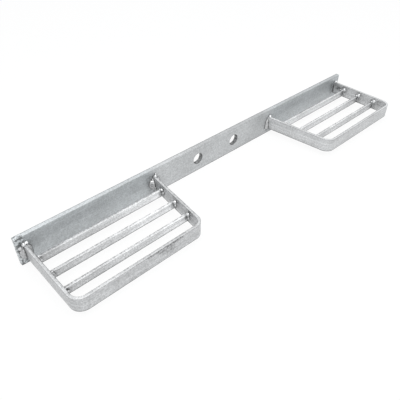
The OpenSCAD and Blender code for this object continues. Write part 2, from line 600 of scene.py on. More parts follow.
def painted_edge_light(tree, coords, low, high, top_light, brow_shade):
    """Painted light and shade along the long edges: dark lines on the rounded edges and on the
    sides next to them, painted for the dark reflections and shade there.

    The faces that look up are brighter than the sides by a painted top light. The brow is how
    dark the painted line just under each upper edge is."""
    place = add_node(tree, "ShaderNodeSeparateXYZ")
    tree.links.new(coords.outputs["Object"], place.inputs["Vector"])
    facing = add_node(tree, "ShaderNodeSeparateXYZ")
    tree.links.new(coords.outputs["Normal"], facing.inputs["Vector"])
    up = facing.outputs["Z"]
    upright = calculate(tree, "ABSOLUTE", up, 0)
    side = spread(tree, upright, 0.8, 0.97, 1, 0)
    above = calculate(tree, "SUBTRACT", place.outputs["Z"], low)
    below = calculate(tree, "SUBTRACT", high, place.outputs["Z"])
    # Painted dark lines on the sides next to the lower and upper edges
    lower = calculate(tree, "MULTIPLY", spread(tree, above, 1.2 * MM, 2.2 * MM, 0.66, 0), side)
    upper = calculate(tree, "MULTIPLY", spread(tree, below, 1 * MM, 1.9 * MM, brow_shade, 0), side)

    rounding = calculate(
        tree, "MULTIPLY", spread(tree, upright, 0.12, 0.35, 0, 1),
        spread(tree, upright, 0.88, 0.97, 1, 0),
    )
    # Painted shade on the rounded edges that look down
    under = calculate(tree, "MULTIPLY", rounding, spread(tree, up, -0.1, 0.1, 0.72, 0))
    # Painted dark reflection on the rounded top edges that look away, a little painted light on
    # those that look forward
    away = calculate(tree, "ADD", facing.outputs["X"], facing.outputs["Y"])
    over = calculate(tree, "MULTIPLY", rounding, spread(tree, away, -0.15, 0.15, -0.2, 0.85))
    over = calculate(tree, "MULTIPLY", over, spread(tree, up, -0.1, 0.1, 0, 1))

    dark = calculate(tree, "ADD", calculate(tree, "MAXIMUM", lower, upper), over)
    dark = calculate(tree, "MAXIMUM", dark, under)
    # Painted light: the faces that look up are brighter
    bright = spread(tree, up, 0.93, 0.99, 1, top_light)
    return calculate(tree, "MULTIPLY", bright, calculate(tree, "SUBTRACT", 1, dark))


def stain_and_shade(tree, place):
    """A tone that is darker in blots where the piece's own stored darkness is high. That darkness
    is mostly painted shade round the welds and inside the steps, and painted dark edge lines.
    """
    depth = add_node(tree, "ShaderNodeAttribute", attribute_name="stain_and_shade").outputs["Fac"]
    blots = noise(tree, place, 280, detail=2, roughness=0.6)
    dark = calculate(tree, "MULTIPLY", depth, spread(tree, blots, 0.4, 0.56, 1, 0.25))
    return calculate(tree, "SUBTRACT", 1, dark)


def along(tree, coords, axis, low, high, to_low, to_high):
    """A tone that changes evenly along an axis."""
    place = add_node(tree, "ShaderNodeSeparateXYZ")
    tree.links.new(coords.outputs["Object"], place.inputs["Vector"])
    made = add_node(tree, "ShaderNodeMapRange", interpolation_type="LINEAR")
    tree.links.new(place.outputs[axis], made.inputs["Value"])
    made.inputs["From Min"].default_value = low
    made.inputs["From Max"].default_value = high
    made.inputs["To Min"].default_value = to_low
    made.inputs["To Max"].default_value = to_high
    return made.outputs["Result"]


def plate_zinc(colour, sizes):
    """The plate's zinc: rough at the left end, with painted shade in the bolt holes, painted light
    that varies along the plate and over its top, and a painted cool shade behind the steps.
    """
    low, high = PLATE_LOW.z, PLATE_HIGH.z
    material, tree, shader, coords, tone = zinc(
        "plate_zinc", low, high, streak=0.06, mottle=0.08, speck=0.12, top_light=1.2, brow_shade=0.08,
    )
    place = add_node(tree, "ShaderNodeSeparateXYZ")
    tree.links.new(coords.outputs["Object"], place.inputs["Vector"])
    across = calculate(tree, "ABSOLUTE", place.outputs["X"], 0)
    off = calculate(tree, "SUBTRACT", across, sizes.hole_spacing / 2)
    square = calculate(tree, "ADD", calculate(tree, "MULTIPLY", off, off),
                       calculate(tree, "MULTIPLY", place.outputs["Z"], place.outputs["Z"]))
    ring = calculate(tree, "POWER", square, 0.5)
    radius = sizes.hole_diameter / 2
    blots = noise(tree, coords.outputs["Object"], 300, detail=2)
    # Painted shade on the bolt hole walls, in blots, fading out just past each rim
    inside = spread(tree, ring, radius + 0.2 * MM, radius + 1.2 * MM, 1, 0)
    inside = calculate(tree, "MULTIPLY", inside, spread(tree, blots, 0.35, 0.6, 0.8, 0.4))
    tone = calculate(tree, "MULTIPLY", tone, calculate(tree, "SUBTRACT", 1, inside))
    rough = spread(tree, blots, 0.42, 0.56, 0.4, 1.3)
    near_end = spread(tree, place.outputs["X"], PLATE_LOW.x + 10 * MM, PLATE_LOW.x + 18 * MM, 1, 0)
    facing = add_node(tree, "ShaderNodeSeparateXYZ")
    tree.links.new(coords.outputs["Normal"], facing.inputs["Vector"])
    not_back = spread(tree, facing.outputs["Y"], 0.3, 0.8, 1, 0)
    cut = calculate(tree, "MULTIPLY", near_end, calculate(tree, "SUBTRACT", 1, rough))
    cut = calculate(tree, "MULTIPLY", cut, not_back)
    tone = calculate(tree, "MULTIPLY", tone, calculate(tree, "SUBTRACT", 1, cut))
    # Painted light and shade: between the steps the plate grows darker to the right, its top is
    # brighter at the left end and darker towards the middle and beyond, with a painted dark line
    # along the top's back edge, and the right end is a little darker
    on_top = spread(tree, facing.outputs["Z"], 0.85, 0.97, 0, 1)
    by_step = spread(tree, across, 0.13, 0.16, 0, 1)
    centre = along(tree, coords, "X", -0.14, 0.14, 0.03, -0.1)
    centre = calculate(tree, "MULTIPLY", centre, calculate(tree, "SUBTRACT", 1, by_step))
    top = calculate(tree, "MULTIPLY", along(tree, coords, "X", -0.38, 0, 0.07, -0.17), on_top)
    back = spread(tree, place.outputs["Y"], -2.6 * MM, -1.5 * MM, 0, -0.34)
    top = calculate(tree, "ADD", top, calculate(tree, "MULTIPLY", back, on_top))
    change = calculate(tree, "ADD", centre, top)
    change = calculate(tree, "ADD", change, along(tree, coords, "X", 0.2, 0.38, 0, -0.06))
    tone = calculate(tree, "MULTIPLY", tone, calculate(tree, "ADD", 1, change))
    tint = paint(tree, shader, colour, tone)
    # A painted cool shade on the plate behind each step
    painted_step_tint = add_node(tree, "ShaderNodeMix", data_type="RGBA", blend_type="MULTIPLY")
    tree.links.new(by_step, painted_step_tint.inputs["Factor"])
    tree.links.new(tint.outputs["Result"], painted_step_tint.inputs["A"])
    painted_step_tint.inputs["B"].default_value = (0.99, 1.015, 1.025, 1)
    tree.links.new(painted_step_tint.outputs["Result"], shader.inputs["Base Color"])
    return material


def strip_zinc(colour):
    """The bent strips' zinc, with painted light and shade on the faces that look left: darker at
    the left end and lighter towards the right.
    """
    material, tree, shader, coords, tone = zinc(
        "strip_zinc", FRAME_LOW.z, FRAME_HIGH.z, streak=0.1, mottle=0.08, speck=0.14, top_light=1.25,
        brow_shade=0.3,
    )
    facing = add_node(tree, "ShaderNodeSeparateXYZ")
    tree.links.new(coords.outputs["Normal"], facing.inputs["Vector"])
    # Painted light and shade on the faces that look left, changing along the step
    to_left = spread(tree, facing.outputs["X"], -0.9, -0.4, 1, 0)
    change = calculate(tree, "MULTIPLY", along(tree, coords, "X", -0.38, 0.15, -0.1, 0.06), to_left)
    tone = calculate(tree, "MULTIPLY", tone, calculate(tree, "ADD", 1, change))
    paint(tree, shader, colour, tone)
    return material


def bar_zinc(colour):
    """The bars' zinc, with painted light that makes them brighter towards the middle of the
    plate, and a little darker towards the front.
    """
    material, tree, shader, coords, tone = zinc(
        "bar_zinc", BAR_LOW.z, BAR_HIGH.z, streak=0.1, mottle=0.12, speck=0.15, top_light=1.2,
        brow_shade=0,
    )
    # A little darker towards the front
    tone = calculate(tree, "MULTIPLY", tone, along(tree, coords, "Y", -0.105, -0.028, 0.96, 1.03))
    # Painted light, brightest towards the middle of the plate
    left = along(tree, coords, "X", -0.37, -0.15, 0.96, 1.5)
    right = along(tree, coords, "X", -0.1, 0.37, 1, 0.74)
    tone = calculate(tree, "MULTIPLY", tone, calculate(tree, "MULTIPLY", left, right))
    paint(tree, shader, colour, tone)
    return material


class TWINSTEP_OT_mounting_plate(bpy.types.Operator):
    """Model the flat mounting plate with its two bolt holes"""

    bl_idname = "twinstep.mounting_plate"
    bl_label = "Mounting Plate"
    bl_options = {"REGISTER", "UNDO"}

    end_round: FloatProperty(
        name="End rounding",
        description="Rounding of the edges round the sawn ends",
        default=0.5 * MM,
        precision=5,
        subtype="DISTANCE",
        unit="LENGTH",
    )

    def execute(self, context):
        sizes = context.scene.twin_step_sizes
        plate = block("galvanised_plate", PLATE_LOW, PLATE_HIGH)
        edit(plate)
        round_edges(plate, sizes.plate_edge, lambda e: runs_along(e, (1, 0, 0)))
        round_edges(plate, self.end_round, is_sharp, steps=2)
        cut_into(plate, (1, 0, 0), 320, longer_than=100 * MM)
        cut_into(plate, (0, 0, 1), 19, longer_than=20 * MM)
        only(plate)
        uneven(plate, clouds("plate_coat", 14 * MM), sizes.coat_wave)
        for side in (-1, 1):
            self.drill(plate, side * sizes.hole_spacing / 2, sizes.hole_diameter / 2)
        note_stain_and_shade(plate, self.dark_marks())
        smooth(plate)
        colours = context.scene.twin_step_colours
        finish = plate_zinc(colours.plate, sizes)
        fit(plate, "mounting_plate", finish)
        return {"FINISHED"}

    def dark_marks(self):
        """Painted shade round the toes of the four arm welds, and beside the last one."""
        marks = []
        front = (0, -1, 0)
        for x, width in ((-369, 12.5), (-144, 14), (144, 12), (368, 5)):
            marks.append(dark_mark((x, -8, -12), (x, -8, 7), width, 0.6, front))
        marks.append(dark_mark((355.5, -8, -10), (355.5, -8, 8), 5, 0.6, front))
        return marks

    def drill(self, plate, x, radius):
        """Drill one bolt hole with a cutter whose two mouths flare, so the rims are soft."""
        centre = Vector((x, (PLATE_LOW.y + PLATE_HIGH.y) / 2, 0))
        flare = self.end_round
        bpy.ops.mesh.primitive_cylinder_add(
            vertices=64, radius=radius, location=centre, rotation=(math.radians(90), 0, 0),
            depth=PLATE_HIGH.y - PLATE_LOW.y - 2 * flare,
        )
        cutter = bpy.context.object
        only(cutter)
        bpy.ops.object.transform_apply(location=True, rotation=True, scale=True)
        edit(cutter)
        for way in (-1, 1):
            pick(cutter, "FACE", lambda f, way=way: f.normal.y * way > 0.99)
            share = 1 + flare / radius
            bpy.ops.mesh.extrude_region_move(TRANSFORM_OT_translate={"value": (0, way * flare, 0)})
            bpy.ops.transform.resize(value=(share, 1, share), center_override=centre)
            bpy.ops.mesh.extrude_region_move(TRANSFORM_OT_translate={"value": (0, way * MM, 0)})
        only(cutter)
        apply_modifier(plate, "BOOLEAN", operation="DIFFERENCE", object=cutter, solver="EXACT")
        bpy.data.objects.remove(cutter)


class TWINSTEP_OT_step_frames(bpy.types.Operator):
    """Bend the two strips on edge into the frames of the steps"""

    bl_idname = "twinstep.step_frames"
    bl_label = "Step Frames"
    bl_options = {"REGISTER", "UNDO"}

    bend_steps: IntProperty(
        name="Bend steps",
        description="Number of faces round each bend",
        default=18,
        min=6,
        max=64,
    )

    def execute(self, context):
        sizes = context.scene.twin_step_sizes
        left = self.bend_strip(sizes)
        right = copy_of(left, "right_bent_strip")
        settle(right, MIRROR)
        colours = context.scene.twin_step_colours
        finish = strip_zinc(colours.strip)
        coat = clouds("strip_coat", 12 * MM)
        for side, strip in zip(SIDES, (left, right)):
            uneven(strip, coat, sizes.coat_wave)
            note_stain_and_shade(strip, self.dark_marks(sizes, side))
            smooth(strip)
            fit(strip, f"{side}_step_frame", finish)
        return {"FINISHED"}

    def dark_marks(self, sizes, side):
        """Painted shade round each bar weld, painted dark lines along the far top edges, and the
        dark blots that one strip or the other has.
        """
        marks = []
        out = (0, -1, 0)
        for place in PLACES:
            for arm in ARMS:
                wall = bar_spot(sizes, place, arm)
                ahead = -1 if arm == "outer" else 1
                if side == "right":
                    wall = MIRROR @ wall
                # Painted shade round the bar weld
                marks.append(dark_mark((ahead * 3, 0, -12), (ahead * 4, 0, 5), 10, 0.5, out, wall))
                # Painted shade near the top of the left inner arm, beside its middle and front bar
                # welds
                if side == "left" and arm == "inner" and place != "back":
                    marks.append(dark_mark((5, 0, 9), (14, 0, 8), 5, 0.8, out, wall))
        marks.extend(self.far_edges(sizes, side))
        if side == "left":
            # A darker patch on the left step's front, and a painted dark line under its top edge
            marks.append(dark_mark((-236, -143, 6), (-219, -143, 2), 9, 0.5, out))
            marks.append(dark_mark((-258, -143, 10), (-200, -143, 10), 3, 0.7, out))
            # Painted shade on the left inner arm's face that looks into the step
            marks.append(dark_mark((-150, -14, 6), (-163, -110, 4), 22, 0.15, (-1, 0, 0)))
        else:
            # Darker marks on the right outer arm's face that looks into the step
            marks.append(dark_mark((362, -15, 3), (362, -26, 1), 9, 0.8, (-1, 0, 0)))
            marks.append(dark_mark((361, -118, 5), (351, -136, 2), 13, 0.5, (-1, 0, 0)))
        return marks

    def far_edges(self, sizes, side):
        """Painted dark lines along the edges of a strip's top that lie furthest back or right."""
        up = (0, 0, 1)
        top = FRAME_HIGH.z / MM
        thick = STRIP_T / MM
        lean = inner_arm_frame(sizes)
        if side == "left":
            outer, inner, matrix = FRAME_LOW.x / MM + thick, 0, lean
            run = (-352, -172)
        else:
            outer, inner, matrix = -FRAME_LOW.x / MM, -thick, MIRROR @ lean
            run = (172, 352)
        front = FRAME_LOW.y / MM + thick
        return [
            dark_mark((outer, -10, top), (outer, -125, top), 2.8, 0.4, up),
            dark_mark((run[0], front, top), (run[1], front, top), 2.8, 0.45, up),
            dark_mark((inner, -2, top), (inner, -115, top), 2.8, 0.4, up, matrix),
        ]

    def bend_strip(self, sizes):
        """The left step's strip: outer arm, bend, front run, bend and leaning inner arm."""
        outer_r = sizes.bend_radius + STRIP_T
        lean = lean_angle(sizes)
        bend_y = FRAME_LOW.y + outer_r
        arm = block(
            "left_bent_strip",
            (FRAME_LOW.x, bend_y, FRAME_LOW.z),
            (FRAME_LOW.x + STRIP_T, FRAME_HIGH.y, FRAME_HIGH.z),
        )
        reach = FRAME_HIGH.y - FRAME_LOW.y
        width = FRAME_HIGH.x - FRAME_LOW.x
        far_bend = width + ((outer_r - reach) * math.sin(lean) - outer_r) / math.cos(lean)
        first = Vector((FRAME_LOW.x + outer_r, bend_y, 0))
        second = Vector((FRAME_LOW.x + far_bend, bend_y, 0))
        edit(arm)
        self.pick_end(arm, (0, -1, 0))
        self.bend(first, math.radians(90))
        self.pick_end(arm, (1, 0, 0))
        self.run(second.x - first.x, (1, 0, 0))
        self.pick_end(arm, (1, 0, 0))
        self.bend(second, math.radians(90) - lean)
        ahead = (math.sin(lean), math.cos(lean), 0)
        self.pick_end(arm, ahead)
        self.run(reach, ahead)
        only(arm)
        trim(arm, (0, PLATE_FACE, 0), (0, 1, 0))
        close_up(arm)
        edit(arm)
        round_edges(arm, sizes.strip_edge, self.is_long)
        pick(arm, "EDGE", lambda e: e.calc_length() > 60 * MM)
        bpy.ops.mesh.subdivide(number_cuts=80)
        cut_into(arm, (0, 0, 1), 11, longer_than=10 * MM)
        only(arm)
        return arm

    def pick_end(self, arm, ahead):
        """Select the end face of the strip that looks ahead and lies furthest that way."""
        mesh = bmesh.from_edit_mesh(arm.data)
        mesh.normal_update()
        ahead = Vector(ahead)
        ends = [f for f in mesh.faces if f.normal.dot(ahead) > 0.999]
        furthest = max(f.calc_center_median().dot(ahead) for f in ends)
        pick(
            arm, "FACE",
            lambda f: f.normal.dot(ahead) > 0.999
            and f.calc_center_median().dot(ahead) > furthest - 0.01 * MM,
        )

    def bend(self, centre, angle):
        """Carry the picked end round a bend, anticlockwise seen from above."""
        bpy.ops.mesh.spin(
            steps=self.bend_steps, angle=-angle, center=centre, axis=(0, 0, 1),
        )

    def run(self, length, ahead):
        """Carry the picked end straight ahead."""
        bpy.ops.mesh.extrude_region_move(
            TRANSFORM_OT_translate={"value": Vector(ahead) * length}
        )

    def is_long(self, edge):
        """True for the long edges of the strip, and not for those round its two ends."""
        at_plate = all(abs(v.co.y - PLATE_FACE) < 0.01 * MM for v in edge.verts)
        return is_sharp(edge) and not at_plate


class TWINSTEP_OT_tread_bars(bpy.types.Operator):
    """Set the three flat bars on edge between the arms of each step"""

    bl_idname = "twinstep.tread_bars"
    bl_label = "Tread Bars"
    bl_options = {"REGISTER", "UNDO"}

    def execute(self, context):
        sizes = context.scene.twin_step_sizes
        colours = context.scene.twin_step_colours
        finish = bar_zinc(colours.bar)
        coat = clouds("bar_coat", 9 * MM)
        for place in PLACES:
            left = self.cut_bar(sizes, place)
            right = copy_of(left, f"right_{place}_bar")
            settle(right, MIRROR)
            for side, bar in zip(SIDES, (left, right)):
                uneven(bar, coat, sizes.coat_wave)
                note_stain_and_shade(bar, self.dark_marks(bar))
                smooth(bar)
                fit(bar, f"{side}_{place}_tread_bar", finish)
        return {"FINISHED"}

    def dark_marks(self, bar):
        """Painted shade at both ends of a bar, on its front by the welds, and a painted dark line
        along the back of its top.
        """
        marks = []
        low, high = Vector(bar.bound_box[0]), Vector(bar.bound_box[6])
        y = (low.y + high.y) / 2 / MM
        foot, head = BAR_LOW.z / MM, BAR_HIGH.z / MM
        # Painted shade on the bar's front at both ends, by the welds
        for x, reach in ((low.x / MM, 12), (high.x / MM, 8)):
            marks.append(dark_mark((x, y, foot), (x, y, head), reach, 0.75, (0, -1, 0)))
        # A painted dark line along the back of the top
        ends = [(x / MM, high.y / MM, head) for x in (low.x, high.x)]
        marks.append(dark_mark(*ends, 4, 0.6, (0, 0, 1)))
        return marks

    def cut_bar(self, sizes, place):
        """One bar of the left step, its inner end sawn to the lean of the arm."""
        low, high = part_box(f"left_{place}_tread_bar")
        bar = block(f"left_{place}_bar", low, high)
        inner = inner_arm_frame(sizes)
        face = inner @ Vector((-STRIP_T, 0, 0))
        outward = inner.to_3x3() @ Vector((1, 0, 0))
        trim(bar, face, outward)
        edit(bar)
        round_edges(bar, sizes.bar_edge, self.is_long)
        pick(bar, "EDGE", lambda e: e.calc_length() > 100 * MM)
        bpy.ops.mesh.subdivide(number_cuts=100)
        cut_into(bar, (0, 0, 1), 5, longer_than=8 * MM)
        only(bar)
        return bar

    def is_long(self, edge):
        """True for the four edges that run the whole length of the bar."""
        return is_sharp(edge) and edge.calc_length() > 100 * MM


def lay_bead(name, legs, strip_t, bottom, top, ripple, widths):
    """The rough form of a bead on the wall y = 0, round both sides of a strip and its top.

    The strip comes out of the wall towards -y, and its middle plane is x = 0. The legs are
    those on the wall and on the strip. The widths are the bead's shares of its full width
    at its bottom, half way up and at its top."""
    on_wall, on_strip = legs
    half = strip_t / 2 + on_wall
    set_back = (half ** 2 - (strip_t / 2) ** 2 - on_strip ** 2) / (2 * on_strip)
    reach = math.hypot(half, set_back)
    shoulder = top - strip_t / 2
    axis = Vector((0, set_back, 0))
    width = 0.96 * widths[0]
    bpy.ops.mesh.primitive_circle_add(
        vertices=64, radius=reach * width, fill_type="NGON", location=(0, set_back, bottom),
    )
    bead = bpy.context.object
    bead.name = name
    bead.data.name = name
    only(bead)
    bpy.ops.object.transform_apply(location=True, rotation=True, scale=True)
    edit(bead)
    bpy.ops.mesh.select_all(action="SELECT")
    for up, wide in ripple_steps(bottom, shoulder, reach, ripple, widths):
        bpy.ops.mesh.extrude_region_move(TRANSFORM_OT_translate={"value": (0, 0, up)})
        share = wide / width
        bpy.ops.transform.resize(value=(share, share, 1), center_override=axis)
        width = wide
    only(bead)
    trim(bead, (0, 1.5 * MM, 0), (0, 1, 0))
    close_up(bead)
    return bead


def ripple_steps(bottom, shoulder, reach, pitch, widths):
    """Climb and width of each ring of a bead: even ripples, then a dome over the top."""
    foot, waist, head = widths
    ripples = max(2, round((shoulder - bottom) / pitch))
    climb = (shoulder - bottom) / ripples / 2
    steps = []
    for ring in range(1, 2 * ripples + 1):
        share = ring / ripples - 1
        end = foot if share < 0 else head
        width = waist + (end - waist) * share ** 2
        steps.append((climb, width * (1.0 if ring % 2 else 0.95)))
    rings = 9
    dome = reach * (head + 1) / 2
    height = 0
    for ring in range(1, rings + 1):
        turn = math.radians(86) * ring / rings
        steps.append((dome * math.sin(turn) - height, head * max(0.06, math.cos(turn))))
        height = dome * math.sin(turn)
    return steps


def drop(bead, place, radius):
    """Join a ball of weld metal to a bead, at a place in the bead's own frame."""
    bpy.ops.mesh.primitive_ico_sphere_add(subdivisions=3, radius=radius, location=place)
    ball = bpy.context.object
    only(ball)
    bpy.ops.object.transform_apply(location=True, rotation=True, scale=True)
    only(bead)
    ball.select_set(True)
    bpy.ops.object.join()


def melt(bead, grain):
    """Melt a bead and its drops into one closed skin of small even faces."""
    apply_modifier(bead, "REMESH", mode="VOXEL", voxel_size=grain)
    apply_modifier(bead, "SMOOTH", factor=0.5, iterations=2)


def lumpy(bead, texture, depth, grain):
    """Make a melted bead uneven, and melt it once more into a sound closed skin."""
    uneven(bead, texture, depth, level=0.6)
    melt(bead, grain)


def strip_gap(bead, matrix, low, high):
    """Cut a strip's own room out of a bead. The strip is a block in the matrix's frame."""
    cutter = block("strip_room", low, high)
    cutter.matrix_world = matrix
    apply_modifier(bead, "BOOLEAN", operation="DIFFERENCE", object=cutter, solver="EXACT")
    bpy.data.objects.remove(cutter)


def from_line(point, start, end):
    """Distance of a point from the straight line between two places."""
    line = end - start
    share = (point - start).dot(line) / max(line.length_squared, 1e-12)
    return (point - start - line * max(0, min(1, share))).length


def dark_mark(start, end, radius, depth, facing, matrix=Matrix()):
    """A dark mark along a line, on the faces that look one way, mostly for painted shade.

    The places and the radius are in mm, and the depth goes up to 1. The matrix is the frame
    that the places and the way are given in."""
    way = matrix.to_3x3() @ Vector(facing)
    return matrix @ (Vector(start) * MM), matrix @ (Vector(end) * MM), radius * MM, depth, way


def note_stain_and_shade(obj, dark_marks):
    """Store how dark each point of a piece is painted, from 0 to 1, mostly as painted shade and
    painted dark edge lines.
    """
    depths = []
    for vert in obj.data.vertices:
        deepest = 0
        for start, end, radius, depth, way in dark_marks:
            if vert.normal.dot(way) < 0.4:
                continue
            share = 1 - from_line(vert.co, start, end) / radius
            deepest = max(deepest, depth * min(1, 1.8 * share))
        depths.append(deepest)
    layer = obj.data.attributes.new("stain_and_shade", "FLOAT", "POINT")
    layer.data.foreach_set("value", depths)


def note_creases(bead, wall, strip):
    """Store how deep in a crease each point of a bead lies, from 0 to 1, for the painted shade
    there.

    The wall and the strip are tests that give a point's distance from them."""
    if len(bead.data.vertices) < 500:
        raise RuntimeError(f"{bead.name} was lost when it was cut")
    mesh = bmesh.new()
    mesh.from_mesh(bead.data)
    mesh.normal_update()
    creases = []
    for vert in mesh.verts:
        hollow = 0
        for edge in vert.link_edges:
            away = edge.other_vert(vert).co - vert.co
            hollow += away.normalized().dot(vert.normal) / len(vert.link_edges)
        toe = max(0, 1 - min(wall(vert.co), strip(vert.co)) / (1.3 * MM))
        creases.append(min(1, max(0, 2.4 * hollow + 0.15) + 1.1 * toe))
    mesh.free()
    layer = bead.data.attributes.new("crease", "FLOAT", "POINT")
    layer.data.foreach_set("value", creases)


def weld_metal(name, colour, low, high):
    """Zinc on weld metal, with painted shade where a bead folds or meets its wall, and painted
    light on top.

    The painted light grows between the heights low and high."""
    material, tree, shader = new_material(name)
    coords = add_node(tree, "ShaderNodeTexCoord")
    place = coords.outputs["Object"]
    crease = add_node(tree, "ShaderNodeAttribute", attribute_name="crease").outputs["Fac"]
    fine = noise(tree, place, 520, detail=2, roughness=0.6)
    broad = noise(tree, place, 160, detail=1)
    # Painted shade in the creases and at the toes
    tone = spread(tree, crease, 0.1, 0.75, 1.08, 0.22)
    # Painted light, growing towards the top
    tone = calculate(tree, "MULTIPLY", tone, along(tree, coords, "Z", low, high, 0.72, 1.4))
    tone = calculate(tree, "MULTIPLY", tone, spread(tree, fine, 0.35, 0.65, 0.82, 1.12))
    tone = calculate(tree, "MULTIPLY", tone, spread(tree, broad, 0.38, 0.6, 0.72, 1.1))
    paint(tree, shader, colour, tone)
    tree.links.new(spread(tree, broad, 0.3, 0.7, 0.22, 0.4), shader.inputs["Roughness"])
    shader.inputs["Metallic"].default_value = 0.5
    relief(tree, shader, fine, 0.3, 0.25 * MM)
    return material


class TWINSTEP_OT_arm_welds(bpy.types.Operator):
    """Lay the weld beads that hold the arms on the plate"""

    bl_idname = "twinstep.arm_welds"
    bl_label = "Arm Welds"
    bl_options = {"REGISTER", "UNDO"}

    # Balls of weld metal on each bead: across the plate, out of it, height and radius, in mm
    DROPS = {
        "left_outer": (
            (-6.5, 1, 7, 3.2), (-1.5, 3.5, 13, 3), (3.5, 2, 13, 2.4), (-7, 0.5, -2, 2.8),
            (-6, 1.5, -9, 2.4),
        ),
        "left_inner": (
            (0, 3.5, 13, 2.6), (3, 1, 15, 1.8), (-7, 0.8, 1, 3), (-4, 5, -2, 3.4),
            (-3.5, 7, -8, 2.8),
        ),
        "right_inner": ((0.5, 3.5, 13, 2.8), (-6, 0.5, -8, 2.6), (-5, 0.8, 0, 2.6)),
        "right_outer": ((-1.5, 2.5, 12.5, 3.4),),
    }
    # Widths of each bead at its bottom, half way up and at its top, as shares
    WIDTHS = {
        "left_outer": (0.9, 1.0, 0.6),
        "left_inner": (0.7, 1.15, 0.55),
        "right_inner": (1.0, 0.9, 0.55),
        "right_outer": (0.65, 0.65, 0.5),
    }

    def execute(self, context):
        sizes = context.scene.twin_step_sizes
        bead_colour = context.scene.twin_step_colours.bead
        finish = weld_metal("arm_bead_zinc", bead_colour, 2 * MM, 14 * MM)
        lumps = clouds("arm_bead_lumps", 3.4 * MM, depth=1)
        legs = (sizes.arm_on_plate, sizes.arm_on_arm)
        for side in SIDES:
            for arm in ARMS:
                bead = lay_bead(
                    f"{side}_{arm}_arm_bead", legs, STRIP_T, FRAME_LOW.z + sizes.weld_stop,
                    FRAME_HIGH.z, sizes.ripple, self.WIDTHS[f"{side}_{arm}"],
                )
                for across, out, up, radius in self.DROPS[f"{side}_{arm}"]:
                    place = Vector((across, -out, up)) * MM
                    if side == "right":
                        place.x = -place.x
                    drop(bead, place, radius * MM)
                melt(bead, 0.55 * MM)
                self.finish_bead(sizes, bead, side, arm, lumps)
                fit(bead, f"{side}_{arm}_arm_weld", finish)
        return {"FINISHED"}

    def finish_bead(self, sizes, bead, side, arm, lumps):
        """Set a melted bead in place, make it lumpy and cut it to the plate and its arm."""
        flip = MIRROR if side == "right" else Matrix()
        slant = STRIP_T / math.cos(lean_angle(sizes)) / 2
        x = FRAME_LOW.x + STRIP_T / 2 if arm == "outer" else FRAME_HIGH.x - slant
        settle(bead, flip @ Matrix.Translation((x, PLATE_FACE, 0)))
        lumpy(bead, lumps, 1.2 * MM, 0.5 * MM)
        if arm == "outer":
            along = Matrix.Translation((FRAME_LOW.x + STRIP_T, PLATE_FACE, 0))
        else:
            along = inner_arm_frame(sizes)
        room = flip @ along
        skin = 0.3 * MM
        low = Vector((-STRIP_T + skin, -30 * MM, FRAME_LOW.z - 9 * MM))
        high = Vector((-skin, 30 * MM, FRAME_HIGH.z - skin))
        strip_gap(bead, room, low, high)
        trim(bead, (0, PLATE_FACE + 0.35 * MM, 0), (0, 1, 0))
        close_up(bead)
        back = room.inverted()

        def from_plate(point):
            return max(0, PLATE_FACE - point.y)

        def from_arm(point):
            local = back @ point
            if local.z > FRAME_HIGH.z:
                return STRIP_T
            return max(local.x, -STRIP_T - local.x, 0)

        note_creases(bead, from_plate, from_arm)
        smooth(bead, degrees=60)


